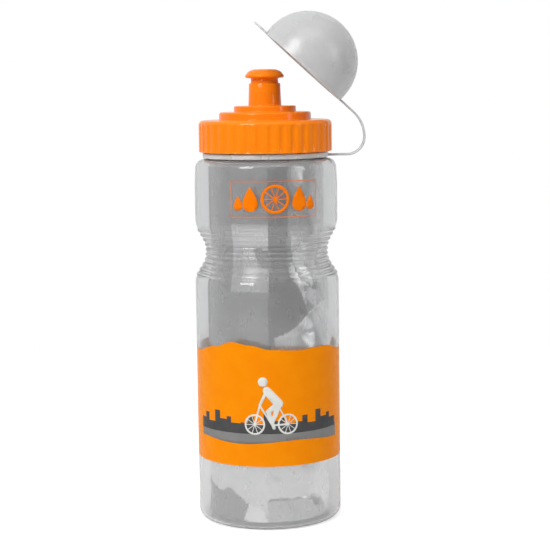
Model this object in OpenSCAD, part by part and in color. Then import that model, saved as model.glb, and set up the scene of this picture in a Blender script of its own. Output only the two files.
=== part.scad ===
// Insulated sports bottle: a clear double wall with foil between, a screw lid with a push-pull
// spout, and a dome dust cover on a strap. +Z is up, the front faces -Y, the strap is on +X.

/* [Bottle] */
// Outer diameter of the lower body, the size that a bottle cage grips
body_d = 73; // [71:0.5:75]
// Outer diameter at the narrowest place of the waist
waist_d = 61.2; // [60.8:0.2:64]
// Outer diameter of the upper body
upper_d = 72.2; // [70:0.2:74]
// Height of the shoulder's top edge
shoulder_z = 184.4; // [183.8:0.2:184.8]
// Wall thickness of the outer shell
shell_wall = 1.2; // [0.9:0.1:1.3]
// Radius of the corner between the side and the base
base_corner_r = 4.5; // [3:0.5:6]
// Number of grip ribs round the waist
rib_count = 9; // [6:1:10]
// Height that a grip rib stands proud
rib_h = 0.35; // [0.2:0.05:0.5]

/* [Inner bottle] */
// Outer diameter of the inner bottle's lower body
inner_d = 59.8; // [56:0.2:62]
// Outer diameter of the neck
neck_d = 57.2; // [56:0.2:57.4]
// Wall thickness of the inner bottle
inner_wall = 1; // [0.8:0.1:1.4]
// Thickness of the foil, with its folds pressed flat
foil_t = 0.3; // [0.2:0.1:0.4]

/* [Print] */
// Lower edge of the printed band
band_low_z = 32.9; // [28:0.5:40]
// Mean height of the band's wavy upper edge
band_top_z = 91.5; // [80:0.5:100]
// Thickness of the printed film
print_t = 0.1; // [0.05:0.05:0.1]

/* [Lid] */
// Outer diameter of the lid's skirt
lid_d = 67.2; // [66:0.2:68.6]
// Height of the lid's lower edge
lid_low_z = 187.4; // [187.2:0.1:187.8]
// Height of the lid's shoulder, where the first step begins
lid_top_z = 203.3; // [203.1:0.1:203.4]
// Number of flutes round the skirt
flute_count = 36; // [24:2:48]
// Depth of a flute
flute_depth = 0.55; // [0.3:0.05:0.8]
// Height that one full turn lifts the lid
thread_pitch = 5; // [4.5:0.1:5.5]

/* [Spout] */
// Outer diameter of the spout's stem
stem_d = 14; // [13.6:0.1:14]
// Outer diameter of the spout's flange
flange_d = 19.6; // [18:0.2:20.4]
// Diameter of the drinking hole
hole_d = 4.4; // [4:0.2:5]

/* [Dust cover] */
// Outer radius of the dome
dome_r = 25.2; // [25:0.1:25.6]
// Wall thickness of the dome
dome_wall = 0.9; // [0.8:0.1:1]
// Angle at which the cover stands open
cover_angle = 42.7; // [30:0.1:42.7]
// Width of the strap
strap_w = 8; // [6:0.5:10]
// Thickness of the strap
strap_t = 1; // [0.8:0.1:1]

/* [Hidden] */
$fn = 96;

// How far a cutting solid runs past the solid that it cuts
over = 1;
orange = "#f5870f";
clear_white = [0.92, 0.93, 0.94, 0.35];
frosted = [0.8, 0.81, 0.82, 0.6];

body_r = body_d / 2;
waist_r = waist_d / 2;
upper_r = upper_d / 2;
neck_r = neck_d / 2;
inner_r = inner_d / 2;
lid_r = lid_d / 2;
stem_r = stem_d / 2;

// Waist: a smooth fall from the lower body and a smooth rise to the upper body
waist_fall = [121.5, 135.8];
waist_rise = [138, 153.5];
rib_low_z = 124.6;
rib_pitch = 2.45;

// Shoulder of the shell with the slight taper below it, and the gap that it leaves round the neck
shoulder_corner_r = 4.6;
shoulder_slope = 0.5;
taper_low_z = 171;
taper = 0.4;
neck_gap = 0.05;

// Base: the pushed-up middle, and the slope down to the ring that the bottle stands on
stand_r = 23;
stand_slope = 3;
push_up = 1.2;

// Inner bottle and foil
inner_low_z = 3.9;
inner_corner_r = 4;
neck_top_z = 199.6;
inner_waist_r = 27.4;
inner_fall = [119, 134];
inner_rise = [140, 152];
foil_gap = 0.1;
foil_top_z = 181;

// Badge: a patch on the front of the upper body
badge_w = 45;
badge_h = 18;
badge_z = 165.5;
badge_turn = 7;

// Threads: half width at the root and at the crest, and where they start
ridge_half = [0.9, 0.5];
ridge_h = 1.2;
thread_gap = 0.02;
thread_low_z = 190.4;
thread_turn = 400;
thread_step = 8;

// Lid levels and radii
lid_corner_r = 2.3;
lid_bore_r = 30.4;
lid_ceiling_z = 200.8;
step_r = [23.2, 15.65];
step_z = [207.3, 210.3];
step_round = 1.2;
step_cavity_r = [20.8, 13.2];
step_cavity_z = [204.6, 207.6];
tower_r = [8.3, 7.9];
tower_top_z = 221.6;
guide_r = [8.2, 9.8];
guide_low_z = 202.4;
guide_top_z = 209.4;
stem_clearance = 0.05;
flute_r = 2.2;
lid_seal_r = [27, 30];
lid_seal_slack = 0.1;

// Valve post: radius, heights above its foot of its shoulder, its tip's start and its top, and arms
post_r = 3;
post_h = [19.6, 20.8, 24.8];
tip_slack = 0.1;
foot_h = 1.2;
arm_w = 1.6;
arm_r = [2.5, 8.7];

// Spout levels at rest, pulled up a little from its stop
spout_low_z = 204.2;
collar_top_z = 206.6;
collar_r = 7.9;
flange_low_z = 223.4;
flange_edge_z = 225.3;
flange_round = 0.8;
spout_top_z = 228.6;
crown_r = 4.8;
lip = 0.5;
channel_r = 4.5;
channel_top_z = 225.2;
channel_slope = 0.9;
seal_z = 214;
seal_wire_r = 0.65;
groove_slack = 0.05;
seal_slack = 0.02;

// Dust cover and strap. The strap runs out of the ring, bends up and over, and joins the cover
dome_low_h = 3.8;
tab_len = 8;
tab_w = 11;
ring_r = [30.3, 31.8];
ring_z = [184.8, 187];
strap_z = 185.4;
strap_flat = 9.5;
strap_bend_r = 8.8;
strap_over_r = 17;
strap_over_angle = 90 - cover_angle;
strap_end = 7;
strap_root_r = 27;
strap_bite = 0.6;
bend_len = strap_bend_r * PI / 2;
over_len = strap_over_r * strap_over_angle * PI / 180;
strap_len = strap_flat + bend_len + over_len + strap_end;
hinge_s = [9, 30.2603];
hinge_gap = 0.8;

// Points on an arc about c from angle a0 to a1
function arc(c, r, a0, a1, n = 8) = [for (i = [0:n]) let (a = a0 + (a1 - a0) * i / n)
    [c[0] + r * cos(a), c[1] + r * sin(a)]];
// Points on a smooth step from radius r0 to r1 between two heights
function sway(z, r0, r1, n = 10) = [for (i = [0:n]) let (t = i / n)
    [r0 + (r1 - r0) * (1 - cos(180 * t)) / 2, z[0] + (z[1] - z[0]) * t]];
// Radius of the shell's outside in the waist, without ribs
function waist(z) = z < waist_fall[1]
    ? let (t = max(0, (z - waist_fall[0]) / (waist_fall[1] - waist_fall[0])))
        body_r + (waist_r - body_r) * (1 - cos(180 * t)) / 2
    : let (t = max(0, (z - waist_rise[0]) / (waist_rise[1] - waist_rise[0])))
        waist_r + (upper_r - waist_r) * (1 - cos(180 * t)) / 2;
// One grip rib is four points: foot, two crest points, foot
function ribs() = [for (i = [0:rib_count - 1], p = [[0, 0], [0.25, 1], [0.55, 1], [0.8, 0]])
    let (z = rib_low_z + (i + p[0]) * rib_pitch) [waist(z) + p[1] * rib_h, z]];
rib_high_z = rib_low_z + rib_count * rib_pitch;

// Place and heading of the strap's centre line at the length s from the ring's edge
function on_arc(p, h, r, l) = [p[0] + r * (sin(h + l / r * 180 / PI) - sin(h)),
    p[1] - r * (cos(h + l / r * 180 / PI) - cos(h)), h + l / r * 180 / PI];
function along(p, h, l) = [p[0] + l * cos(h), p[1] + l * sin(h), h];
function strap_at(s) =
    let (a = along([ring_r[1], strap_z], 0, min(s, strap_flat)))
    s <= strap_flat ? a :
    let (b = on_arc(a, a[2], strap_bend_r, min(s - strap_flat, bend_len)))
    s <= strap_flat + bend_len ? b :
    let (c = on_arc(b, b[2], strap_over_r, min(s - strap_flat - bend_len, over_len)))
    s <= strap_flat + bend_len + over_len ? c :
    along(c, c[2], s - strap_flat - bend_len - over_len);
// Middle of the cover's brim plane in the open position
cover_end = strap_at(strap_len);
cover_at = [cover_end[0] - strap_root_r * cos(cover_angle) - strap_t / 2 * sin(cover_angle),
    cover_end[1] + strap_root_r * sin(cover_angle) - strap_t / 2 * cos(cover_angle)];

// A tube from an outer and an inner outline that both run upwards
module lathe_wall(outer, inner) rotate_extrude()
    polygon(concat(outer, [for (i = [len(inner) - 1:-1:0]) inner[i]]));

module outer_shell() {
    corner = [upper_r - taper - shoulder_corner_r, shoulder_z - shoulder_slope - shoulder_corner_r];
    outer = concat([[0, push_up], [stand_r - stand_slope, push_up], [stand_r, 0]],
        arc([body_r - base_corner_r, base_corner_r], base_corner_r, -90, 0),
        [[body_r, waist_fall[0]]], ribs(),
        [for (p = sway(waist_rise, waist_r, upper_r)) if (p[1] > rib_high_z) p],
        [[upper_r, taper_low_z]], arc(corner, shoulder_corner_r, 0, 90),
        [[neck_r + neck_gap, shoulder_z]]);
    w = shell_wall;
    inner_stand_r = stand_r + w / 3;
    inner = concat([[0, push_up + w], [inner_stand_r - stand_slope, push_up + w], [inner_stand_r, w]],
        arc([body_r - base_corner_r, base_corner_r], base_corner_r - w, -90, 0),
        sway(waist_fall, body_r - w, waist_r - w), sway(waist_rise, waist_r - w, upper_r - w),
        [[upper_r - w, taper_low_z]], arc(corner, shoulder_corner_r - w, 0, 90),
        [[neck_r + neck_gap, shoulder_z - w]]);
    color(clear_white) lathe_wall(outer, inner);
}

// Outline of the inner bottle, moved outwards by d, up to the height top
function inner_outline(d, top) = concat([[0, inner_low_z - d]],
    arc([inner_r - inner_corner_r, inner_low_z + inner_corner_r], inner_corner_r + d, -90, 0),
    sway(inner_fall, inner_r + d, inner_waist_r + d),
    sway(inner_rise, inner_waist_r + d, neck_r + d), [[neck_r + d, top]]);

module inner_bottle() color(clear_white)
    lathe_wall(inner_outline(0, neck_top_z), inner_outline(-inner_wall, neck_top_z));

// The foil tube is open below the inner bottle's corner, and a disc of foil closes it
module foil_wrap() {
    side = [for (d = [foil_gap + foil_t, foil_gap]) [for (p = inner_outline(d, foil_top_z))
        if (p[1] >= inner_low_z + inner_corner_r) p]];
    color("#b9bcc0") lathe_wall(side[0], side[1]);
}

module foil_base() color("#c8cacd") translate([0, 0, inner_low_z - foil_gap - foil_t])
    cylinder(r = inner_r - inner_corner_r, h = foil_t);

// A printed film on a round wall of radius r
module film(r, low, high) translate([0, 0, low]) difference() {
    cylinder(r = r + print_t, h = high - low);
    translate([0, 0, -over]) cylinder(r = r, h = high - low + 2 * over);
}

module printed_band() color(orange) film(body_r, band_low_z, band_top_z);

module printed_badge() color(orange) rotate([0, 0, badge_turn]) intersection() {
    film(upper_r, badge_z - badge_h / 2, badge_z + badge_h / 2);
    translate([0, -upper_r, badge_z]) cube([badge_w, upper_r, badge_h + over], center = true);
}

// A helical ridge: wall is the radius that it stands on, rise is +1 outwards or -1 inwards
module helix_ridge(wall, rise, start) {
    steps = thread_turn / thread_step;
    root = rise > 0 ? (wall + thread_gap) / cos(thread_step / 2) : wall - thread_gap;
    crest = wall + rise * ridge_h;
    ring = [[root, -ridge_half[0]], [crest, -ridge_half[1]], [crest, ridge_half[1]],
        [root, ridge_half[0]]];
    points = [for (i = [0:steps], p = ring) let (a = start + i * thread_step)
        [p[0] * cos(a), p[0] * sin(a), p[1] + thread_low_z + thread_pitch * i / steps
            * thread_turn / 360]];
    side = [for (i = [0:steps - 1], k = [0:3]) let (a = 4 * i + k, b = 4 * i + (k + 1) % 4)
        rise > 0 ? [a, a + 4, b + 4, b] : [a, b, b + 4, a + 4]];
    ends = rise > 0 ? [[0, 1, 2, 3], [4 * steps + 3, 4 * steps + 2, 4 * steps + 1, 4 * steps]]
        : [[3, 2, 1, 0], [4 * steps, 4 * steps + 1, 4 * steps + 2, 4 * steps + 3]];
    polyhedron(points, concat(side, ends));
}

module neck_thread() color(clear_white) helix_ridge(neck_r, 1, 0);

module lid_thread() color(orange) helix_ridge(lid_bore_r, -1, 180);

module lid_seal() color("#e8e8e6") translate([0, 0, neck_top_z + lid_seal_slack]) difference() {
    h = lid_ceiling_z - neck_top_z - 2 * lid_seal_slack;
    cylinder(r = lid_seal_r[1], h = h);
    translate([0, 0, -over]) cylinder(r = lid_seal_r[0], h = h + 2 * over);
}

module screw_lid() {
    r = step_round;
    outer = concat([[lid_r, lid_ceiling_z]],
        arc([lid_r - lid_corner_r, lid_top_z - lid_corner_r], lid_corner_r, 0, 90),
        [[step_r[0], lid_top_z]], arc([step_r[0] - r, step_z[0] - r], r, 0, 90, 5),
        [[step_r[1], step_z[0]]], arc([step_r[1] - r / 2, step_z[1] - r / 2], r / 2, 0, 90, 4),
        [[tower_r[0], step_z[1]], [tower_r[1], tower_top_z]]);
    inner = [[stem_r + stem_clearance, tower_top_z], [stem_r + stem_clearance, guide_top_z],
        [guide_r[0], guide_top_z], [guide_r[0], guide_low_z], [guide_r[1], guide_low_z],
        [guide_r[1], step_cavity_z[1]], [step_cavity_r[1], step_cavity_z[1]],
        [step_cavity_r[1], step_cavity_z[0]], [step_cavity_r[0], step_cavity_z[0]],
        [step_cavity_r[0], lid_ceiling_z]];
    color(orange) {
        rotate_extrude() polygon(concat(outer, inner));
        translate([0, 0, lid_low_z]) linear_extrude(height = lid_ceiling_z - lid_low_z)
            difference() {
                circle(r = lid_r);
                circle(r = lid_bore_r);
                for (i = [0.5:flute_count]) rotate(i * 360 / flute_count)
                    translate([lid_r + flute_r - flute_depth, 0]) circle(r = flute_r, $fn = 32);
            }
    }
}

// The post plugs the drinking hole when the spout is pushed down
module valve_post() color("#f39a3c") translate([0, 0, guide_low_z - foot_h]) {
    tip_r = hole_d / 2 - tip_slack;
    difference() {
        cylinder(r = guide_r[1], h = foot_h);
        translate([0, 0, -over]) cylinder(r = guide_r[0], h = foot_h + 2 * over);
    }
    for (a = [90, 210, 330]) rotate(a) translate([arm_r[0], -arm_w / 2, 0])
        cube([arm_r[1] - arm_r[0], arm_w, foot_h]);
    rotate_extrude() polygon([[0, 0], [post_r, 0], [post_r, post_h[0]], [tip_r, post_h[1]],
        [tip_r, post_h[2]], [0, post_h[2]]]);
}

module spout() {
    groove_r = stem_r - 2 * seal_wire_r - groove_slack;
    groove_z = [seal_z - seal_wire_r - groove_slack, seal_z + seal_wire_r + groove_slack];
    outer = concat([[channel_r, spout_low_z], [collar_r, spout_low_z], [collar_r, collar_top_z],
        [stem_r, collar_top_z], [stem_r, groove_z[0]], [groove_r, groove_z[0]],
        [groove_r, groove_z[1]], [stem_r, groove_z[1]], [stem_r, flange_low_z]],
        arc([flange_d / 2 - flange_round, flange_edge_z], flange_round, -70, 40, 6),
        arc([crown_r, spout_top_z - crown_r], crown_r, 62, 90, 5),
        [[hole_d / 2 + lip, spout_top_z], [hole_d / 2, spout_top_z - lip],
        [hole_d / 2, channel_top_z], [channel_r, channel_top_z - channel_slope]]);
    color(orange) rotate_extrude() polygon(outer);
}

module spout_seal() color("#dcdcda") translate([0, 0, seal_z]) rotate_extrude()
    translate([stem_r - seal_wire_r - seal_slack, 0]) circle(r = seal_wire_r, $fn = 32);

// A stretch of the strap between two lengths along its centre line
module strap(s0, s1, steps = 6) {
    side = [for (d = [1, -1]) [for (i = [0:steps]) let (p = strap_at(s0 + (s1 - s0) * i / steps))
        [p[0] - d * strap_t / 2 * sin(p[2]), p[1] + d * strap_t / 2 * cos(p[2])]]];
    rotate([90, 0, 0]) linear_extrude(height = strap_w, center = true)
        polygon(concat(side[1], [for (i = [steps:-1:0]) side[0][i]]));
}

module strap_ring() color(frosted) {
    h = ring_z[1] - ring_z[0];
    translate([0, 0, ring_z[0]]) difference() {
        cylinder(r = ring_r[1], h = h);
        translate([0, 0, -over]) cylinder(r = ring_r[0], h = h + 2 * over);
    }
    strap(-strap_bite, hinge_s[0] - hinge_gap / 2);
}

module strap_link() color(frosted) strap(hinge_s[0] + hinge_gap / 2, hinge_s[1] - hinge_gap / 2, 16);

module dust_cover() color(frosted) {
    strap(hinge_s[1] + hinge_gap / 2, strap_len + strap_root_r - dome_r + dome_wall / 2);
    translate([cover_at[0], 0, cover_at[1]]) rotate([0, cover_angle, 0]) {
        lathe_wall(concat([[dome_r, 0]], arc([0, dome_low_h], dome_r, 0, 90, 16)),
            concat([[dome_r - dome_wall, 0]], arc([0, dome_low_h], dome_r - dome_wall, 0, 90, 16)));
        difference() {
            union() {
                translate([-dome_r - tab_len + tab_w / 2, 0, 0]) cylinder(r = tab_w / 2, h = strap_t);
                translate([-dome_r - tab_len + tab_w / 2, -tab_w / 2, 0])
                    cube([tab_len, tab_w, strap_t]);
            }
            translate([0, 0, -over])
                cylinder(r = dome_r - dome_wall / 2, h = strap_t + 2 * over);
        }
    }
}

outer_shell();
inner_bottle();
neck_thread();
foil_wrap();
foil_base();
printed_band();
printed_badge();
lid_seal();
screw_lid();
lid_thread();
valve_post();
spout();
spout_seal();
strap_ring();
strap_link();
dust_cover();
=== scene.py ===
import math
import random

import bmesh
import bpy
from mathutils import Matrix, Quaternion, Vector
from mathutils.geometry import delaunay_2d_cdt


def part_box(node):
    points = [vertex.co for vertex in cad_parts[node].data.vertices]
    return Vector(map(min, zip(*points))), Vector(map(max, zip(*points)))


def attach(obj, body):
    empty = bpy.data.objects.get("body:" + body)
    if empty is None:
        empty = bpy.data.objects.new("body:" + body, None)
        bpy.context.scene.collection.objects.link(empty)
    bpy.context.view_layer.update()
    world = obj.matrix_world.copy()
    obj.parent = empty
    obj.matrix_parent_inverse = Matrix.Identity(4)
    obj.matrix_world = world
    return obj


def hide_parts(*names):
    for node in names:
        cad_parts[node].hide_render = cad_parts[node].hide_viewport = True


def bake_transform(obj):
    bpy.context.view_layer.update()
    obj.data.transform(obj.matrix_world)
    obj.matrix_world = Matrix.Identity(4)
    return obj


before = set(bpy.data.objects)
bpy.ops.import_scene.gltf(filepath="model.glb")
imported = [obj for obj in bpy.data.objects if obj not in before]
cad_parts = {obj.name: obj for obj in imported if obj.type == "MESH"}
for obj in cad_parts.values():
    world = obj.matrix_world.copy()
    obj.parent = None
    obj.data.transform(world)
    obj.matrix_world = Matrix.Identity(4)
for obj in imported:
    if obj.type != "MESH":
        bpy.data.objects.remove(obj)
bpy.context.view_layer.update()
MM = 0.001

# ---------------------------------------------------------------- sizes, in millimetres, from the frame


def box_mm(node):
    low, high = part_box(node)
    return low / MM, high / MM


SHELL = box_mm("outer_shell")
LID = box_mm("screw_lid")
SPOUT = box_mm("spout")
BAND = box_mm("printed_band")
RING = box_mm("strap_ring")
INNER = box_mm("inner_bottle")
FOIL = box_mm("foil_wrap")

BODY_R = SHELL[1].x
SHOULDER_Z = SHELL[1].z
WAIST_R = 30.6
UPPER_R = BODY_R - 0.4
WALL = 1.2
SHOULDER_ROUND = 4.6
BASE_ROUND = 4.5
# Heights between which the waist narrows and widens again
WAIST_FALL = (121.5, 135.8)
WAIST_RISE = (138.0, 153.5)
LID_R = LID[1].x
LID_LOW = LID[0].z
NECK_R = 28.6


# ---------------------------------------------------------------- mesh helpers


def arc(centre, radius, start, end, count):
    """Points on an arc in the (r, z) plane, angles in degrees."""
    angles = [math.radians(start + (end - start) * i / count) for i in range(count + 1)]
    return [(centre[0] + radius * math.cos(a), centre[1] + radius * math.sin(a)) for a in angles]


def smooth(t):
    """A smooth step from 0 to 1."""
    t = min(max(t, 0.0), 1.0)
    return t * t * (3 - 2 * t)


def sway(z, heights, start, end):
    """A cosine step between two radii over a range of heights."""
    t = min(max((z - heights[0]) / (heights[1] - heights[0]), 0.0), 1.0)
    return start + (end - start) * (1 - math.cos(math.pi * t)) / 2


def add_piece(name, points, faces, material, body, replaces, sharp):
    """A mesh piece from points in millimetres, shaded smooth up to the sharp angle."""
    mesh = bpy.data.meshes.new(name)
    mesh.from_pydata([(x * MM, y * MM, z * MM) for x, y, z in points], [], faces)
    mesh.validate()
    made = bmesh.new()
    made.from_mesh(mesh)
    bmesh.ops.remove_doubles(made, verts=made.verts, dist=1e-7)
    bmesh.ops.recalc_face_normals(made, faces=made.faces)
    made.to_mesh(mesh)
    made.free()
    for face in mesh.polygons:
        face.use_smooth = True
    mesh.set_sharp_from_angle(angle=math.radians(sharp))
    piece = bpy.data.objects.new(name, mesh)
    bpy.context.scene.collection.objects.link(piece)
    mesh.materials.append(material)
    if body:
        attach(piece, body)
    if replaces:
        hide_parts(*replaces)
    return piece


def lathe_mesh(profile, segments, closed, radial=None, place=None):
    """Points and faces of a profile turned about Z. radial(angle, r, z) may change a radius."""
    points, faces = [], []
    rows = len(profile)
    for i in range(segments):
        a = 2 * math.pi * i / segments
        for r, z in profile:
            moved = radial(a, r, z) if radial else r
            point = (moved * math.sin(a), -moved * math.cos(a), z)
            points.append(place(point) if place else point)
    for i in range(segments):
        nxt = (i + 1) % segments
        for k in range(rows if closed else rows - 1):
            m = (k + 1) % rows
            quad = [(i, k), (nxt, k), (nxt, m), (i, m)]
            quad = [q for q in quad if profile[q[1]][0] > 0 or q[0] == i]
            faces.append([q[0] * rows + q[1] for q in quad])
    faces = [f for f in faces if len(f) > 2]
    return points, faces


def wrap(u, v, radius):
    """A point of the unrolled print, u round the bottle from the front and v up, on a radius."""
    return (radius * math.sin(u / radius), -radius * math.cos(u / radius), v)


# ---------------------------------------------------------------- materials


def new_material(name):
    material = bpy.data.materials.new(name)
    material.use_nodes = True
    nodes, links = material.node_tree.nodes, material.node_tree.links
    return material, nodes, links, nodes["Principled BSDF"]


def noise_node(nodes, links, scale, detail, stretch=(1, 1, 1)):
    coordinates = nodes.new("ShaderNodeTexCoord")
    mapping = nodes.new("ShaderNodeMapping")
    mapping.inputs["Scale"].default_value = stretch
    noise = nodes.new("ShaderNodeTexNoise")
    noise.inputs["Scale"].default_value = scale
    noise.inputs["Detail"].default_value = detail
    links.new(coordinates.outputs["Object"], mapping.inputs["Vector"])
    links.new(mapping.outputs["Vector"], noise.inputs["Vector"])
    return noise


def ramp_node(nodes, links, source, stops):
    ramp = nodes.new("ShaderNodeValToRGB")
    ramp.color_ramp.elements[0].position, ramp.color_ramp.elements[0].color = stops[0]
    ramp.color_ramp.elements[1].position, ramp.color_ramp.elements[1].color = stops[-1]
    for position, colour in stops[1:-1]:
        ramp.color_ramp.elements.new(position).color = colour
    links.new(source, ramp.inputs["Fac"])
    return ramp


def bump_node(nodes, links, source, strength, distance):
    bump = nodes.new("ShaderNodeBump")
    bump.inputs["Strength"].default_value = strength
    bump.inputs["Distance"].default_value = distance
    links.new(source, bump.inputs["Height"])
    return bump


def grey(value):
    return (value, value, value, 1.0)


def moulded_plastic(name, dark, light, roughness, subsurface=0.0):
    """Injection-moulded plastic: slight colour drift, fine moulding texture, uneven gloss."""
    material, nodes, links, shader = new_material(name)
    drift = noise_node(nodes, links, 45.0, 4.0)
    colour = ramp_node(nodes, links, drift.outputs["Fac"], [(0.3, (*dark, 1)), (0.7, (*light, 1))])
    links.new(colour.outputs["Color"], shader.inputs["Base Color"])
    gloss = ramp_node(nodes, links, drift.outputs["Fac"],
                      [(0.25, grey(roughness * 0.85)), (0.8, grey(roughness * 1.2))])
    links.new(gloss.outputs["Color"], shader.inputs["Roughness"])
    grain = noise_node(nodes, links, 900.0, 2.0)
    texture = bump_node(nodes, links, grain.outputs["Fac"], 0.12, 0.00005)
    links.new(texture.outputs["Normal"], shader.inputs["Normal"])
    shader.inputs["IOR"].default_value = 1.49
    shader.inputs["Specular IOR Level"].default_value = 0.24
    if subsurface:
        shader.inputs["Subsurface Weight"].default_value = subsurface
        shader.inputs["Subsurface Radius"].default_value = (1.0, 0.35, 0.08)
        shader.inputs["Subsurface Scale"].default_value = 0.0015
    return material


def clear_plastic(name, tint, haze, roughness):
    """Clear blow-moulded plastic: refracting, a little hazy, with faint flow lines along the wall."""
    material, nodes, links, shader = new_material(name)
    flow = noise_node(nodes, links, 60.0, 3.0, stretch=(1, 1, 0.12))
    colour = ramp_node(nodes, links, flow.outputs["Fac"],
                       [(0.3, (*[c * 0.97 for c in tint], 1)), (0.7, (*tint, 1))])
    links.new(colour.outputs["Color"], shader.inputs["Base Color"])
    gloss = ramp_node(nodes, links, flow.outputs["Fac"],
                      [(0.3, grey(roughness * 0.7)), (0.75, grey(roughness * 1.4))])
    links.new(gloss.outputs["Color"], shader.inputs["Roughness"])
    texture = bump_node(nodes, links, flow.outputs["Fac"], 0.04, 0.0002)
    links.new(texture.outputs["Normal"], shader.inputs["Normal"])
    shader.inputs["IOR"].default_value = 1.42
    shader.inputs["Transmission Weight"].default_value = 1 - haze
    return material


def foil_material():
    """Metallised film: the mesh holds its folds, and the attribute read here holds a painted reflection:
    light and shade painted into the film's colour, place by place.
    """
    material, nodes, links, shader = new_material("foil")
    painted_reflection_tone = nodes.new("ShaderNodeAttribute")
    painted_reflection_tone.attribute_name = "painted_reflection_tone"
    wrinkle = noise_node(nodes, links, 260.0, 4.0, stretch=(1, 1, 0.5))
    # Painted reflection: the attribute turns the film's colour from near black to near white, standing in for
    # the light and shade it reflects.
    colour = ramp_node(nodes, links, painted_reflection_tone.outputs["Fac"], [(0.0, grey(0.08)), (1.0, grey(0.98))])
    links.new(colour.outputs["Color"], shader.inputs["Base Color"])
    gloss = ramp_node(nodes, links, wrinkle.outputs["Fac"], [(0.3, grey(0.22)), (0.75, grey(0.30))])
    links.new(gloss.outputs["Color"], shader.inputs["Roughness"])
    texture = bump_node(nodes, links, wrinkle.outputs["Fac"], 0.05, 0.0001)
    links.new(texture.outputs["Normal"], shader.inputs["Normal"])
    shader.inputs["Metallic"].default_value = 1.0
    return material


def ink_material(name, dark, light, alpha, glow=0.0):
    """Screen-printed ink: almost opaque, satin, with the faint mottling of a print."""
    material, nodes, links, shader = new_material(name)
    mottle = noise_node(nodes, links, 120.0, 5.0)
    colour = ramp_node(nodes, links, mottle.outputs["Fac"], [(0.3, (*dark, 1)), (0.7, (*light, 1))])
    links.new(colour.outputs["Color"], shader.inputs["Base Color"])
    gloss = ramp_node(nodes, links, mottle.outputs["Fac"], [(0.3, grey(0.22)), (0.8, grey(0.36))])
    links.new(gloss.outputs["Color"], shader.inputs["Roughness"])
    shader.inputs["Alpha"].default_value = alpha
    shader.inputs["IOR"].default_value = 1.48
    shader.inputs["Specular IOR Level"].default_value = 0.05
    shader.inputs["Subsurface Weight"].default_value = glow
    shader.inputs["Subsurface Radius"].default_value = (1.0, 0.6, 0.2)
    shader.inputs["Subsurface Scale"].default_value = 0.0004
    return material


CLEAR_SHELL = clear_plastic("clear_shell", (0.93, 0.935, 0.94), 0.10, 0.06)
CLEAR_INNER = clear_plastic("clear_inner", (0.92, 0.93, 0.93), 0.25, 0.10)
FOIL_FILM = foil_material()
LID_ORANGE = moulded_plastic("lid_orange", (0.88, 0.20, 0.0003), (0.91, 0.225, 0.0005), 0.14, 0.10)
VALVE_ORANGE = moulded_plastic("valve_orange", (0.75, 0.24, 0.02), (0.84, 0.30, 0.03), 0.36)
SEAL_WHITE = moulded_plastic("seal_white", (0.68, 0.68, 0.66), (0.76, 0.76, 0.74), 0.55)
INK_ORANGE = ink_material("ink_orange", (0.98, 0.235, 0.0003), (1.0, 0.26, 0.0003), 0.97, 0.25)
INK_BADGE = ink_material("ink_badge", (0.90, 0.19, 0.001), (0.94, 0.21, 0.002), 0.92)
INK_HILL = ink_material("ink_hill", (0.19, 0.19, 0.187), (0.22, 0.22, 0.215), 0.98)
INK_CITY = ink_material("ink_city", (0.058, 0.058, 0.060), (0.076, 0.076, 0.078), 0.99)
INK_WHITE = ink_material("ink_white", (0.60, 0.61, 0.58), (0.72, 0.72, 0.69), 0.99)


def frosted_plastic(name, dark, light, clearness):
    """Soft translucent moulding of the dust cover, strap and ring."""
    material, nodes, links, shader = new_material(name)
    cloud = noise_node(nodes, links, 70.0, 4.0)
    colour = ramp_node(nodes, links, cloud.outputs["Fac"], [(0.3, (*dark, 1)), (0.75, (*light, 1))])
    links.new(colour.outputs["Color"], shader.inputs["Base Color"])
    gloss = ramp_node(nodes, links, cloud.outputs["Fac"], [(0.3, grey(0.24)), (0.8, grey(0.34))])
    links.new(gloss.outputs["Color"], shader.inputs["Roughness"])
    grain = noise_node(nodes, links, 1400.0, 2.0)
    texture = bump_node(nodes, links, grain.outputs["Fac"], 0.08, 0.00004)
    links.new(texture.outputs["Normal"], shader.inputs["Normal"])
    shader.inputs["IOR"].default_value = 1.5
    shader.inputs["Transmission Weight"].default_value = clearness
    shader.inputs["Subsurface Weight"].default_value = 0.7
    shader.inputs["Subsurface Radius"].default_value = (1.0, 1.0, 1.0)
    shader.inputs["Subsurface Scale"].default_value = 0.004
    return material


FROSTED = frosted_plastic("frosted_cover", (0.43, 0.445, 0.455), (0.48, 0.495, 0.505), 0.0)
# The ring's copy of the frosted plastic is painted much lighter than the cover's: painted light that lifts
# the shade under the lid.
FROSTED_RING_PAINTED_LIGHT = frosted_plastic("frosted_ring_painted_light", (0.88, 0.90, 0.87), (0.94, 0.96, 0.93), 0.20)

# ---------------------------------------------------------------- outer shell

RIB_LOW, RIB_PITCH, RIB_COUNT, RIB_H = 124.6, 2.45, 10, 0.62
RIB_SHARPNESS = 2.2


def shell_radius(z):
    """Outside radius of the straight body and the ribbed waist."""
    plain = (sway(z, WAIST_FALL, BODY_R, WAIST_R) if z < WAIST_FALL[1]
             else sway(z, WAIST_RISE, WAIST_R, UPPER_R))
    turn = (z - RIB_LOW) / RIB_PITCH
    if not 0 < turn < RIB_COUNT:
        return plain
    return plain + RIB_H * max(0.0, math.sin(math.pi * (turn % 1))) ** RIB_SHARPNESS


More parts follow.
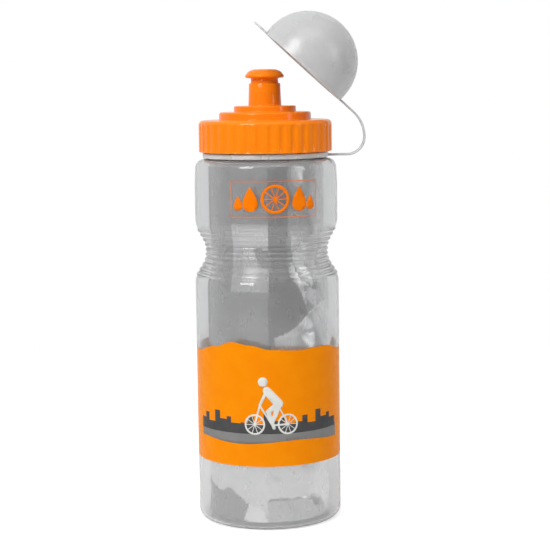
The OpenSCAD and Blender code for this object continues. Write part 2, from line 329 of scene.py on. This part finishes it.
def build_shell():
    """The clear wall: base with its pushed-up middle, straight body, ribbed waist and shoulder."""
    corner = (UPPER_R - 0.4 - SHOULDER_ROUND, SHOULDER_Z - 0.5 - SHOULDER_ROUND)
    base = (BODY_R - BASE_ROUND, BASE_ROUND)
    step = 0.25
    waist = [z * step for z in range(int(WAIST_FALL[0] / step), int(WAIST_RISE[1] / step) + 2)]
    side = [(shell_radius(z), z) for z in [8, 20, 40, 60, 80, 100, 115] + waist + [160, 171]]
    outer = ([(0, 1.2), (20, 1.2), (21, 1.0), (22.4, 0.2), (23.4, 0)]
             + arc(base, BASE_ROUND, -90, 0, 10) + side + arc(corner, SHOULDER_ROUND, 0, 90, 12)
             + [(30.2, SHOULDER_Z - 0.2), (NECK_R + 0.1, SHOULDER_Z)])
    inside = [(r - WALL, z) for r, z in side]
    inner = ([(0, 2.4), (20.4, 2.4), (21.6, 2.1), (22.8, 1.3), (23.8, 1.2)]
             + arc(base, BASE_ROUND - WALL, -90, 0, 8) + inside
             + arc(corner, SHOULDER_ROUND - WALL, 0, 90, 10)
             + [(NECK_R + 0.1, SHOULDER_Z - WALL)])
    points, faces = lathe_mesh(outer + inner[::-1], 144, False)
    add_piece("shell_clear", points, faces, CLEAR_SHELL, "bottle", ["outer_shell"], 50)


build_shell()

# ---------------------------------------------------------------- foil


def inner_radius(z):
    """Outside radius of the inner bottle that the foil lies on."""
    if z < 130:
        return sway(z, (119, 134), INNER[1].x, 27.4)
    return sway(z, (140, 152), 27.4, NECK_R)


def in_outline(u, v, outline):
    """Whether a point is inside a closed outline."""
    inside = False
    for (x0, y0), (x1, y1) in zip(outline, outline[1:] + outline[:1]):
        if (y0 > v) != (y1 > v) and u < x0 + (v - y0) * (x1 - x0) / (y1 - y0):
            inside = not inside
    return inside


# Large panels of the foil: outline as (degrees round from the front, height), tone, tilt round, tilt up. The
# tone is a painted reflection: each panel's reflected light or shade painted into the film's colour, dark for
# painted shade and near 1 for painted highlights.
FOLDS = [
    # A narrow dark strip of painted shade, standing in for a crease line on the left
    ([(-80, 184), (-71, 184), (-71, 40), (-80, 40)], 0.12, 0.0, 0.0),
    ([(2, 183), (22, 183), (21, 150), (22, 127), (32, 119.5), (41, 108), (30, 102), (15, 97.7), (6, 96.4),
      (1, 84), (1, 40), (1.5, 100)], 0.25, 0.0, 0.0),
    ([(-36, 153), (2, 153), (2, 119), (-36, 119)], 0.80, 0.0, 0.0),
    ([(24, 153), (60, 150), (60, 122), (38, 124), (27, 134)], 0.92, 0.0, 0.0),
    ([(22, 183), (58, 183), (57, 150), (40, 142), (21, 150)], 0.66, 0.0, 0.0),
    ([(26, 181), (31, 183), (39, 180), (37, 173), (31, 170), (26, 174)], 1.0, 0.0, 0.0),
    ([(-33, 130), (-27, 124), (1, 124), (1, 140), (-14, 140), (-33, 139)], 0.70, 0.0, 0.4),
    ([(-14, 141), (4, 140), (4, 129), (-5, 130.5), (-10, 135)], 0.38, 0.0, 0.0),
    ([(22, 128), (25, 134), (33, 127), (38, 117), (41, 108), (32, 119.5)], 1.0, 0.0, 0.0),
    ([(38, 124), (55, 122), (58, 114), (46, 105), (41, 111)], 0.60, -0.5, -0.4),
    ([(41, 108), (58, 112), (82, 112), (82, 84), (10, 84), (6, 96.4), (15, 97.7), (30, 102)], 0.92, 0.4, 1.2),
    ([(-80, 22), (-52, 17), (-40, 20), (-10, 8), (-30, 3), (-80, 4)], 0.38, -0.3, 0.5),
    ([(-20, 11.5), (-7.8, 10), (0, 4), (-6, 2), (-25, 3.5)], 1.0, 0.3, 2.2),
    ([(-2, 14), (30, 15), (58, 12), (60, 6), (45, 3), (-2, 4)], 0.66, 0.2, -0.6),
]
# The foil starts a lap before its seam and ends at it, lying on its own first layer
SEAM_DEG, LAP_DEG = 1.6, 8
FOIL_GAP, LAP_RISE = 0.25, 0.35
FOIL_LOW, FOIL_HIGH = 3.2, FOIL[1].z
ROUND_STEPS, UP_STEPS = 260, 180
# How far a panel stands out, and the spans over which a tilt of 1 changes that by 1 mm
PANEL_LIFT, TILT_DEG, TILT_MM = 0.6, 20, 14
# Number of crease directions, the crease width that has full depth, and the height and depth of the creases
CREASES, CREASE_WIDTH, CREASE_LIFT, CREASE_DEPTH = 7, 16, 0.5, 0.42
# Least height above the inner bottle, most height above the film's own layer, and gap to the clear wall
FOIL_LEAST, FOIL_MOST, WALL_GAP = 0.08, 3.0, 0.35


def crumple_share(deg, z):
    """How crumpled the foil is: smooth at the front left, creased at the right, the back and the foot."""
    side = smooth((math.sin(math.radians(deg - 20)) - 0.05) / 0.4)
    lower = 1 - 0.65 * smooth((z - 136) / 20)
    back = smooth((abs(deg) - 85) / 40) * 0.7
    foot = 0.4 * smooth((30 - z) / 12)
    return max(0.05, side * lower, back, foot)


def triangle(turn):
    """A triangle wave from -1 to 1: flat facets between straight creases."""
    return 4 * abs(turn - math.floor(turn + 0.5)) - 1


def set_painted_reflection(foil, values):
    """Store the painted reflection, one value for each point of a foil piece, which the foil's material reads
    as its colour.
    """
    painted_reflection_tone = foil.data.attributes.new("painted_reflection_tone", "FLOAT", "POINT")
    painted_reflection_tone.data.foreach_set("value", values)


def plain_painted_reflection(deg, z):
    """Painted reflection of the foil outside its large panels: painted lighter near the foot, where the film
    reflects the pale floor, and lighter on the right.
    """
    return 0.44 + 0.40 * smooth((40 - z) / 14) + 0.25 * smooth((deg - 35) / 25)


def middle_of(outline):
    """The mean of an outline's points."""
    return sum(p[0] for p in outline) / len(outline), sum(p[1] for p in outline) / len(outline)


def build_foil():
    """The film round the inner bottle, pushed out by its panels and creases, inside the clear wall."""
    pick = random.Random(7)
    creases = [(pick.uniform(0, math.pi), pick.uniform(11, 26), pick.uniform(0, 1),
                pick.uniform(0.5, 1.0)) for _ in range(CREASES)]
    rows = []
    for j in range(UP_STEPS + 1):
        row = []
        for i in range(ROUND_STEPS + 1):
            deg = SEAM_DEG - LAP_DEG + (360 + LAP_DEG) * i / ROUND_STEPS
            around = (deg + 180) % 360 - 180
            z = FOIL_LOW + (FOIL_HIGH - FOIL_LOW) * j / UP_STEPS
            share = crumple_share(around, z)
            base = inner_radius(z)
            layer = FOIL_GAP + LAP_RISE * i / ROUND_STEPS
            lift = 0.0
            # The tone is a painted reflection: light and shade that the film would reflect, painted into its
            # colour.
            painted_reflection_tone = plain_painted_reflection(around, z)
            for fold, fold_painted_reflection, tilt_round, tilt_up in FOLDS:
                if in_outline(around, z, fold):
                    painted_reflection_tone = fold_painted_reflection
                    middle = middle_of(fold)
                    lift = (PANEL_LIFT + tilt_round * (around - middle[0]) / TILT_DEG
                            - tilt_up * (z - middle[1]) / TILT_MM)
            # the creases sway a little, so that none runs dead straight
            u = math.radians(around) * base + 2.5 * math.sin(z / 17)
            v = z + 3 * math.sin(u / 13)
            crumple = 0.0
            for angle, width, start, size in creases:
                along = u * math.cos(angle) + v * math.sin(angle)
                crumple += size * width / CREASE_WIDTH * triangle(along / width + start)
            room = max(0.0, shell_radius(z) - WALL - WALL_GAP - base - layer)
            height = layer + share * (CREASE_LIFT + CREASE_DEPTH * crumple) + lift * share
            height = min(max(height, FOIL_LEAST), layer + min(room, FOIL_MOST))
            row.append((deg, z, base + height, painted_reflection_tone))
        rows.append(row)
    points, painted_reflection_tones, faces = [], [], []
    for row in rows:
        for deg, z, r, painted_reflection_tone in row:
            a = math.radians(deg)
            points.append((r * math.sin(a), -r * math.cos(a), z))
            painted_reflection_tones.append(painted_reflection_tone)
    width = ROUND_STEPS + 1
    for j in range(UP_STEPS):
        for i in range(ROUND_STEPS):
            a, b = j * width + i, j * width + i + 1
            c, d = b + width, a + width
            faces += [(a, b, c), (a, c, d)]
    foil = add_piece("foil_film", points, faces, FOIL_FILM, "bottle", ["foil_wrap"], 12)
    set_painted_reflection(foil, painted_reflection_tones[:len(foil.data.vertices)])


build_foil()


def build_foil_base():
    """The foil tucked under the inner bottle, creased towards its middle."""
    pick = random.Random(11)
    profile = [(0, 3.45), (5, 3.5), (10, 3.5), (15, 3.45), (20, 3.5), (24, 3.4), (27, 3.5), (29.6, 3.6)]
    segments = 48
    pleats = [pick.uniform(-0.28, 0.22) for _ in range(segments)]
    points, faces = lathe_mesh(profile, segments, False)
    moved = []
    for index, (x, y, z) in enumerate(points):
        out = math.hypot(x, y) / 30
        moved.append((x, y, z + pleats[index // len(profile)] * out))
    foil = add_piece("foil_under", moved, faces, FOIL_FILM, "bottle", ["foil_base"], 8)
    set_painted_reflection(foil, [0.8] * len(foil.data.vertices))


build_foil_base()

# ---------------------------------------------------------------- printed band and badge


# Thickness of the ink, spacing of the points inside a print and of the points on its edges
INK_T, PRINT_GRID, PRINT_STEP = 0.02, 2.0, 1.0


def dense(outline):
    """The same outline with points close together, so that its long edges bend with the wall."""
    points = []
    for a, b in zip(outline, outline[1:] + outline[:1]):
        count = max(1, math.ceil(math.dist(a, b) / PRINT_STEP))
        points += [(a[0] + (b[0] - a[0]) * k / count, a[1] + (b[1] - a[1]) * k / count) for k in range(count)]
    return points


def print_patch(name, outlines, material, radius, replaces=()):
    """A thin print of closed outlines, (mm round from the front, mm up), joined and wrapped on a radius."""
    corners, loops = [], []
    for outline in outlines:
        turned = sum(a[0] * b[1] - b[0] * a[1] for a, b in zip(outline, outline[1:] + outline[:1]))
        outline = dense(outline if turned > 0 else outline[::-1])
        loops.append(list(range(len(corners), len(corners) + len(outline))))
        corners += [Vector(p) for p in outline]
    us, vs = [p.x for p in corners], [p.y for p in corners]
    columns = range(math.ceil(min(us) / PRINT_GRID), math.ceil(max(us) / PRINT_GRID))
    levels = range(math.ceil(min(vs) / PRINT_GRID), math.ceil(max(vs) / PRINT_GRID))
    spread = [Vector((PRINT_GRID * i, PRINT_GRID * j)) for i in columns for j in levels]
    # output type 0 gives every triangle, and a triangle inside an outline has a source
    flat, _, faces, _, _, sources = delaunay_2d_cdt(corners + spread, [], loops, 0, 1e-4)
    faces = [face for face, source in zip(faces, sources) if source]
    used = sorted({k for face in faces for k in face})
    place = {k: n for n, k in enumerate(used)}
    points = [wrap(flat[k].x, flat[k].y, radius) for k in used]
    faces = [[place[k] for k in face] for face in faces]
    piece = add_piece(name, points, faces, material, "bottle", replaces, 60)
    film = piece.modifiers.new("film", "SOLIDIFY")
    film.thickness = INK_T * MM
    film.offset = 1


def limb(start, end, width, end_width=None):
    """Outline of a stroke with round ends."""
    end_width = end_width or width
    turn = math.atan2(end[1] - start[1], end[0] - start[0])
    outline = []
    for centre, size, first in ((start, width, turn + math.pi / 2), (end, end_width, turn - math.pi / 2)):
        outline += [(centre[0] + size / 2 * math.cos(first + math.pi * k / 8),
                     centre[1] + size / 2 * math.sin(first + math.pi * k / 8)) for k in range(9)]
    return outline


def hoop(centre, outer, inner, count=32):
    """Outlines that together make a flat ring."""
    def at(k, r):
        a = 2 * math.pi * k / count
        return (centre[0] + r * math.cos(a), centre[1] + r * math.sin(a))
    return [[at(k, inner), at(k, outer), at(k + 1, outer), at(k + 1, inner)] for k in range(count)]


def wheel(centre, radius, spokes, rim, wire):
    """Outlines of a bicycle wheel."""
    ends = [2 * math.pi * k / spokes for k in range(spokes)]
    return (hoop(centre, radius, radius - rim)
            + [limb(centre, (centre[0] + (radius - rim / 2) * math.cos(a),
                             centre[1] + (radius - rim / 2) * math.sin(a)), wire) for a in ends]
            + [limb(centre, (centre[0] + 0.01, centre[1]), 3 * wire)])


# Points on the waved top edge of the band, as (degrees round from the front, height)
BAND_EDGE = [(-180, 90.5), (-110, 90), (-71, 88.4), (-46, 92), (-29, 95), (-14, 93.6), (2, 91.5), (26, 90.7),
             (40, 91.3), (51, 91.4), (77, 87.9), (120, 91.5), (180, 90.5)]


def band_top(deg):
    """Height of the band's top edge at an angle round the bottle."""
    deg = (deg + 180) % 360 - 180
    for (d0, z0), (d1, z1) in zip(BAND_EDGE, BAND_EDGE[1:]):
        if d0 <= deg <= d1:
            return z0 + (z1 - z0) * smooth((deg - d0) / (d1 - d0))
    return BAND_EDGE[0][1]


def build_band():
    """The orange ink round the lower body, a thin ring with a waved top edge."""
    count = 240
    low = BAND[0].z
    inside, outside = BODY_R + 0.02, BODY_R + 0.05
    points, faces = [], []
    for i in range(count):
        deg = 360 * i / count
        top = band_top(deg)
        a = math.radians(deg)
        for r, z in ((inside, low), (inside, top), (outside, top), (outside, low)):
            points.append((r * math.sin(a), -r * math.cos(a), z))
    for i in range(count):
        n = (i + 1) % count
        for k in range(4):
            faces.append((4 * i + k, 4 * n + k, 4 * n + (k + 1) % 4, 4 * i + (k + 1) % 4))
    add_piece("band_print", points, faces, INK_ORANGE, "bottle", ["printed_band"], 60)


build_band()

# Generic print on the band, in mm round from the front and mm up. A block is (width, height).
PRINT_HALF, ROAD_Z, ROAD_DEPTH = 42.0, 51.0, 6.0
BLOCKS = [(4.0, 4.0), (3.0, 7.0), (5.0, 3.0), (3.5, 9.0), (4.5, 5.0), (2.5, 6.5), (5.5, 3.5)]
WHEEL_R, WHEEL_SPOKES, WHEEL_RIM, WHEEL_WIRE = 5.2, 10, 0.9, 0.34
# The prints lie on each other: road, skyline, rider
ROAD_RADIUS, SKYLINE_RADIUS, RIDER_RADIUS = BODY_R + 0.055, BODY_R + 0.08, BODY_R + 0.105


def build_road():
    """A level road with waved edges."""
    across = [PRINT_HALF * (k / 20 - 1) for k in range(41)]
    road = ([(u, ROAD_Z + 0.5 * math.sin(u / 6)) for u in across]
            + [(u, ROAD_Z - ROAD_DEPTH + 0.8 * math.sin(u / 9)) for u in across[::-1]])
    print_patch("print_road", [road], INK_HILL, ROAD_RADIUS)


def build_skyline():
    """A repeating row of plain blocks along the road's top edge."""
    foot, overlap = ROAD_Z - 1.5, 0.05
    blocks, start, k = [], -PRINT_HALF, 0
    while start < PRINT_HALF - 4:
        width, height = BLOCKS[k % len(BLOCKS)]
        blocks.append([(start, foot), (start + width, foot),
                       (start + width, ROAD_Z + height), (start, ROAD_Z + height)])
        start, k = start + width - overlap, k + 1
    print_patch("print_skyline", blocks, INK_CITY, SKYLINE_RADIUS)


def build_rider():
    """A pictogram of a cyclist on the level, of round-ended strokes."""
    axle_z = ROAD_Z - 2 + WHEEL_R
    front, rear, crank = (-7.0, axle_z), (9.6, axle_z), (1.8, axle_z - 0.4)
    seat, bars = (5.2, axle_z + 8.6), (-4.4, axle_z + 9.6)
    hip, shoulder = (5.0, axle_z + 10.4), (-0.8, axle_z + 17.0)
    knee, foot = (-0.2, axle_z + 6.4), (2.6, axle_z - 1.8)
    other_knee, other_foot = (3.2, axle_z + 4.4), (0.8, axle_z + 1.6)
    head, head_end, head_size = (-2.8, axle_z + 21.4), (-2.7, axle_z + 21.4), 4.8
    rider = (wheel(front, WHEEL_R, WHEEL_SPOKES, WHEEL_RIM, WHEEL_WIRE)
             + wheel(rear, WHEEL_R, WHEEL_SPOKES, WHEEL_RIM, WHEEL_WIRE))
    bicycle = [(front, bars, 0.9), (crank, bars, 0.9), (crank, seat, 0.9), (crank, rear, 0.9),
               (rear, seat, 0.7)]
    figure = [(hip, shoulder, 4.6, 4.0), (shoulder, bars, 1.7, 1.3), (hip, knee, 3.2, 2.5),
              (knee, foot, 2.3, 1.6), (hip, other_knee, 3.0, 2.3), (other_knee, other_foot, 2.0, 1.4),
              (head, head_end, head_size)]
    rider += [limb(*stroke) for stroke in bicycle + figure]
    print_patch("print_rider", rider, INK_WHITE, RIDER_RADIUS)


build_road()
build_skyline()
build_rider()


def droplet(centre, size):
    """Outline of a drop of water that points up."""
    return [(centre[0] + size * math.sin(a) * math.sin(a / 2) ** 1.4, centre[1] + size * 1.15 * math.cos(a))
            for a in [2 * math.pi * k / 40 for k in range(40)]]


def build_badge():
    """A generic badge on the upper body: a thin frame, a wheel, and two drops of water on each side."""
    left, right, low, high = -17.8, 27.0, 156.6, 174.4
    line = 0.34
    middle, level = (left + right) / 2, (low + high) / 2
    badge = [[(left, low), (right, low), (right, low + line), (left, low + line)],
             [(left, high - line), (right, high - line), (right, high), (left, high)],
             [(left, low), (left + line, low), (left + line, high), (left, high)],
             [(right - line, low), (right, low), (right, high), (right - line, high)]]
    badge += wheel((middle, level), 7.2, 10, 1.5, 0.5)
    for side in (-1, 1):
        badge.append(droplet((middle + side * 12.4, level + 0.2), 5.4))
        badge.append(droplet((middle + side * 18.6, level - 1.8), 3.2))
    print_patch("badge_print", badge, INK_BADGE, UPPER_R + 0.03, ["printed_badge"])


build_badge()

# ---------------------------------------------------------------- lid

LID_CEILING = 200.8
LID_SHOULDER = 203.3
STEP_R, STEP_Z, STEP_ROUND = (23.2, 15.65), (207.3, 210.3), 1.2
TOWER_R = (8.3, 7.9)
STEM_R = 7.0
FLUTES, FLUTE_STEPS, FLUTE_DEPTH = 36, 14, 0.55


def build_lid():
    """Fluted skirt, two steps and the spout's tower, with the hollow and the spout's bore inside."""
    top = LID[1].z
    outer = ([(30.8, LID_LOW), (LID_R - 0.4, LID_LOW), (LID_R - 0.1, LID_LOW + 0.12), (LID_R, LID_LOW + 0.45)]
             + [(LID_R, z) for z in (189, 192, 195, 198, 200, 200.8)]
             + arc((LID_R - 2.3, LID_SHOULDER - 2.3), 2.3, 4, 90, 12)
             + [(STEP_R[0] + 0.5, LID_SHOULDER)]
             + arc((STEP_R[0] + 0.5, LID_SHOULDER + 0.5), 0.5, -90, -180, 4)
             + arc((STEP_R[0] - STEP_ROUND, STEP_Z[0] - STEP_ROUND), STEP_ROUND, 0, 90, 8)
             + arc((STEP_R[1] + 0.5, STEP_Z[0] + 0.5), 0.5, -90, -180, 4)
             + arc((STEP_R[1] - 0.6, STEP_Z[1] - 0.6), 0.6, 0, 90, 6)
             + arc((TOWER_R[0] + 0.6, STEP_Z[1] + 0.6), 0.6, -90, -180, 5)
             + [(8.1, 215), (TOWER_R[1], top - 0.4), (TOWER_R[1] - 0.12, top - 0.12),
                (TOWER_R[1] - 0.4, top)])
    inner = [(STEM_R + 0.08, top), (STEM_R + 0.08, 209.4), (8.25, 209.4), (8.25, 202.4), (9.75, 202.4),
             (9.75, 207.6), (13.2, 207.6), (13.2, 204.6), (20.8, 204.6), (20.8, LID_CEILING),
             (30.4, LID_CEILING), (30.4, LID_LOW + 0.3)]

    def radial(a, r, z):
        """Rounded flutes on the skirt that fade out towards its shoulder."""
        if r < LID_R - 1.6 or z > LID_SHOULDER - 0.6:
            return r
        turn = (a * FLUTES / (2 * math.pi)) % 1
        hollow = max(0.0, 1 - ((turn - 0.5) / 0.30) ** 2)
        lip = smooth((z - LID_LOW - 0.2) / 0.5)
        fade = 1 - smooth((z - (LID_SHOULDER - 3.4)) / 2.2)
        return r - FLUTE_DEPTH * hollow * fade * lip

    points, faces = lathe_mesh(outer + inner, FLUTES * FLUTE_STEPS, True, radial)
    add_piece("lid_moulding", points, faces, LID_ORANGE, "lid", ["screw_lid"], 40)


build_lid()


def build_spout():
    """The push-pull spout: stem with its seal groove, domed flange and drinking hole."""
    low, top = SPOUT[0].z, SPOUT[1].z
    edge = SPOUT[1].x
    flange, hole = 225.6, 2.2
    outer = ([(4.5, low), (7.6, low), (7.9, low + 0.3), (7.9, 206.3), (7.6, 206.6), (STEM_R, 206.6),
              (STEM_R, 213.3), (5.65, 213.3), (5.65, 214.7), (STEM_R, 214.7), (STEM_R, 221.9), (6.85, 222.6)]
             + arc((7.75, 223.3), 0.9, 210, 120, 5)
             + arc((edge - 0.95, flange - 0.45), 0.95, -75, 55, 10)
             + arc((4.4, top - 6.6), 6.6, 52, 88, 8)
             + arc((hole + 0.45, top - 0.5), 0.45, 90, 180, 4)
             + [(hole, 225.2), (4.5, 224.3)])
    points, faces = lathe_mesh(outer, 96, True)
    add_piece("spout_moulding", points, faces, LID_ORANGE, "spout", ["spout"], 40)


build_spout()

# ---------------------------------------------------------------- dust cover, strap and ring

DOME_R, DOME_WALL, DOME_LOW = 25.2, 0.9, 3.8
STRAP_W, STRAP_T = 8.0, 1.0
COVER_DEG = 42.7
RING_OUT, STRAP_Z = 31.8, 185.4
# The strap's centre line from the ring: (line, length, 0) or (bend, radius, degrees)
STRAP_RUN = [("line", 9.5, 0), ("bend", 8.8, 90), ("bend", 17.0, 90 - COVER_DEG), ("line", 7.0, 0)]
STRAP_ROOT = 27.0
# Distances along the strap of the two places where it bends, and how far each bend spreads
HINGE_S, REACH = [9, 30.26], 7.5


def strap_at(s):
    """(x, z, heading in radians) of the strap's centre line, s mm from the ring.

    Below 0 it runs back into the ring, and past its end it runs on straight.
    """
    x, z, heading = RING_OUT, STRAP_Z, 0.0
    for index, (kind, size, deg) in enumerate(STRAP_RUN):
        length = size if kind == "line" else size * math.radians(deg)
        last = index == len(STRAP_RUN) - 1
        step = s if last else min(s, length)
        if kind == "line":
            x, z = x + step * math.cos(heading), z + step * math.sin(heading)
        else:
            turned = heading + step / size
            x += size * (math.sin(turned) - math.sin(heading))
            z -= size * (math.cos(turned) - math.cos(heading))
            heading = turned
        s -= length
        if s <= 0:
            break
    return x, z, heading


STRAP_LEN = sum(size if kind == "line" else size * math.radians(deg) for kind, size, deg in STRAP_RUN)
END_X, END_Z, _ = strap_at(STRAP_LEN)
TILT = math.radians(COVER_DEG)
COVER_X = END_X - STRAP_ROOT * math.cos(TILT) - STRAP_T / 2 * math.sin(TILT)
COVER_Z = END_Z + STRAP_ROOT * math.sin(TILT) - STRAP_T / 2 * math.cos(TILT)


def cover_place(point):
    """From the cover's own frame, brim down at the origin, to its open place."""
    x, y, z = point
    return (COVER_X + x * math.cos(TILT) + z * math.sin(TILT), y,
            COVER_Z - x * math.sin(TILT) + z * math.cos(TILT))


def build_cover():
    """The dome with its brim, and the thumb tab that leaves the brim opposite the strap."""
    centre = (0, DOME_LOW)
    segments = 112
    outer = ([(DOME_R - 0.55, 0), (DOME_R + 0.05, 0.08), (DOME_R + 0.12, 0.4), (DOME_R, 0.9), (DOME_R, 2.2)]
             + arc(centre, DOME_R, 0, 90, 28))
    inner_r = DOME_R - DOME_WALL
    inner = [(inner_r, 0.25), (inner_r, 2.2)] + arc(centre, inner_r, 0, 90, 28)
    points, faces = lathe_mesh(outer + inner[::-1], segments, False, place=cover_place)
    count = len(outer) + len(inner)
    for i in range(segments):
        here, after = i * count, ((i + 1) % segments) * count
        faces.append((here + count - 1, here, after, after + count - 1))
    add_piece("cover_dome", points, faces, FROSTED, "dust_cover", ["dust_cover"], 50)
    half, length = 5.5, 8.0
    outline = ([(-DOME_R + 0.6, half + 1.6), (-DOME_R - 0.8, half + 0.2)]
               + [(-DOME_R - length + half - half * math.sin(a), half * math.cos(a))
                  for a in [math.radians(180 * k / 20) for k in range(21)]]
               + [(-DOME_R - 0.8, -half - 0.2), (-DOME_R + 0.6, -half - 1.6)])
    points = [cover_place((x, y, z)) for z in (0.05, 1.0) for x, y in outline]
    n = len(outline)
    faces = [list(range(n))[::-1], list(range(n, 2 * n))] + [
        (k, (k + 1) % n, n + (k + 1) % n, n + k) for k in range(n)]
    tab = add_piece("cover_tab", points, faces, FROSTED, "dust_cover", [], 30)
    edge = tab.modifiers.new("edge", "BEVEL")
    edge.width, edge.segments, edge.limit_method = 0.3 * MM, 3, "ANGLE"


build_cover()


def strap_section():
    """Cross-section of the strap, flat with round edges: (across, out of its plane)."""
    half, t = STRAP_W / 2, STRAP_T / 2
    side = [(half - t + t * math.cos(a), t * math.sin(a))
            for a in [math.radians(-90 + 180 * k / 6) for k in range(7)]]
    return side + [(-u, -v) for u, v in side]


def build_strap():
    """The strap in two lengths, each curving softly through one of its bends on the way from the ring to the
    cover.
    """
    section = strap_section()
    middles = [(a + b) / 2 for a, b in zip(HINGE_S, HINGE_S[1:])]
    ends = [-0.8] + middles + [STRAP_LEN + STRAP_ROOT - DOME_R + 0.4]
    for k in range(2):
        s0, s1 = ends[k], ends[k + 1]
        steps = max(8, int((s1 - s0) / 0.5))
        points, faces = [], []
        for i in range(steps + 1):
            x, z, heading = strap_at(s0 + (s1 - s0) * i / steps)
            for across, out in section:
                points.append((x - out * math.sin(heading), across, z + out * math.cos(heading)))
        n = len(section)
        for i in range(steps):
            faces += [(i * n + m, i * n + (m + 1) % n, (i + 1) * n + (m + 1) % n, (i + 1) * n + m)
                      for m in range(n)]
        piece = add_piece(f"strap_{k + 1}", points, faces, FROSTED, None, [], 60)
        x0, z0, _ = strap_at(max(HINGE_S[k] - REACH, s0))
        x1, z1, _ = strap_at(min(HINGE_S[k] + REACH, s1))
        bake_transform(piece)
        if k == 0:
            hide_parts("strap_link")


build_strap()


def build_ring():
    """The ring round the neck, with softened edges."""
    low, high = RING[0].z, RING[1].z
    profile = [(30.35, low + 0.1), (30.6, low - 0.15), (31.3, low - 0.4), (RING_OUT, low - 0.1),
               (RING_OUT, high - 0.5), (31.5, high - 0.1), (30.7, high), (30.35, high - 0.3)]
    points, faces = lathe_mesh(profile, 128, True)
    # The ring wears the lighter copy of the frosted plastic, painted light against the shade under the lid.
    add_piece("ring_band", points, faces, FROSTED_RING_PAINTED_LIGHT, "strap_ring", ["strap_ring"], 40)


build_ring()

# ---------------------------------------------------------------- CAD nodes that stay, with their materials

for node, material in {"inner_bottle": CLEAR_INNER, "neck_thread": CLEAR_INNER, "lid_thread": LID_ORANGE,
                       "valve_post": VALVE_ORANGE, "lid_seal": SEAL_WHITE, "spout_seal": SEAL_WHITE}.items():
    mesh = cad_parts[node].data
    mesh.materials.clear()
    mesh.materials.append(material)

# ---------------------------------------------------------------- stage: floor, light, camera


def build_floor():
    """A plain pale round floor, brighter to the camera than to the bottle."""
    mesh = bpy.data.meshes.new("floor")
    count, radius = 96, 0.55
    ring = [(radius * math.cos(2 * math.pi * i / count), radius * math.sin(2 * math.pi * i / count), -0.0001)
            for i in range(count)]
    mesh.from_pydata(ring, [], [list(range(count))])
    floor = bpy.data.objects.new("floor", mesh)
    bpy.context.scene.collection.objects.link(floor)
    material, nodes, links, shader = new_material("pale_floor")
    shader.inputs["Base Color"].default_value = (0.6, 0.6, 0.6, 1)
    shader.inputs["Roughness"].default_value = 0.8
    shader.inputs["Specular IOR Level"].default_value = 0.1
    shader.inputs["Emission Color"].default_value = (1, 1, 1, 1)
    seen = nodes.new("ShaderNodeLightPath")
    glow = nodes.new("ShaderNodeMapRange")
    glow.inputs["To Min"].default_value, glow.inputs["To Max"].default_value = 0.24, 0.62
    links.new(seen.outputs["Is Camera Ray"], glow.inputs["Value"])
    links.new(glow.outputs["Result"], shader.inputs["Emission Strength"])
    mesh.materials.append(material)


def softbox(name, place, aim, width, height, power):
    """A rectangular area light that faces a point."""
    data = bpy.data.lights.new(name, "AREA")
    data.shape, data.size, data.size_y = "RECTANGLE", width, height
    data.energy = power
    light = bpy.data.objects.new(name, data)
    light.location = place
    light.rotation_mode = "QUATERNION"
    light.rotation_quaternion = (Vector(aim) - Vector(place)).to_track_quat("-Z", "Y")
    bpy.context.scene.collection.objects.link(light)


def build_world():
    """A soft studio: lighter on the left, behind and above, darker on the right; the camera sees white."""
    world = bpy.data.worlds.new("studio")
    bpy.context.scene.world = world
    world.use_nodes = True
    nodes, links = world.node_tree.nodes, world.node_tree.links
    background = nodes["Background"]
    background.inputs["Color"].default_value = (1, 1, 1, 1)
    where = nodes.new("ShaderNodeTexCoord")
    split = nodes.new("ShaderNodeSeparateXYZ")
    links.new(where.outputs["Generated"], split.inputs["Vector"])

    def step(axis, low, high):
        """A smooth step from 0 to 1 along an axis of the surroundings."""
        node = nodes.new("ShaderNodeMapRange")
        node.interpolation_type = "SMOOTHSTEP"
        node.inputs["From Min"].default_value, node.inputs["From Max"].default_value = low, high
        links.new(split.outputs[axis], node.inputs["Value"])
        return node.outputs["Result"]

    def mix(factor, first, second):
        """A blend of two values, each a number or another node's output."""
        node = nodes.new("ShaderNodeMix")
        node.data_type = "FLOAT"
        links.new(factor, node.inputs["Factor"])
        for socket, value in (("A", first), ("B", second)):
            if isinstance(value, float):
                node.inputs[socket].default_value = value
            else:
                links.new(value, node.inputs[socket])
        return node.outputs["Result"]

    side = mix(step("X", -0.35, 0.45), 0.46, 0.30)
    level = mix(step("Y", -0.1, 0.55), side, 0.78)
    whole = mix(step("Z", 0.35, 0.9), level, 0.70)
    light_path = nodes.new("ShaderNodeLightPath")
    seen = mix(light_path.outputs["Is Camera Ray"], whole, 1.0)
    links.new(seen, background.inputs["Strength"])


def build_camera():
    """The camera at the photograph's viewing angle: near the spout's height, tilted slightly down."""
    data = bpy.data.cameras.new("camera")
    data.sensor_width, data.lens = 36.0, 105.8
    camera = bpy.data.objects.new("camera", data)
    bpy.context.scene.collection.objects.link(camera)
    pitch, roll = math.radians(6.8), math.radians(-0.75)
    camera.location = (0.0040, -0.820, 0.222)
    back = Vector((0, -math.cos(pitch), math.sin(pitch)))
    camera.rotation_mode = "QUATERNION"
    camera.rotation_quaternion = back.to_track_quat("Z", "Y") @ Quaternion((0, 0, 1), roll)
    bpy.context.scene.camera = camera


build_floor()
build_world()
softbox("key_left", (-0.66, -0.94, 1.02), (0, 0, 0.14), 0.55, 0.75, 14)
softbox("strip_right", (1.20, -0.60, 0.62), (0, 0, 0.16), 0.22, 0.80, 2.5)
softbox("top_fill", (0.10, -0.55, 1.35), (0, 0, 0.12), 0.90, 0.70, 3)
build_camera()

scene = bpy.context.scene
scene.view_settings.view_transform = "Standard"
scene.cycles.use_denoising = True
scene.cycles.max_bounces = 24
scene.cycles.transmission_bounces = 20
scene.cycles.transparent_max_bounces = 16
scene.cycles.glossy_bounces = 8
scene.cycles.sample_clamp_indirect = 2.0
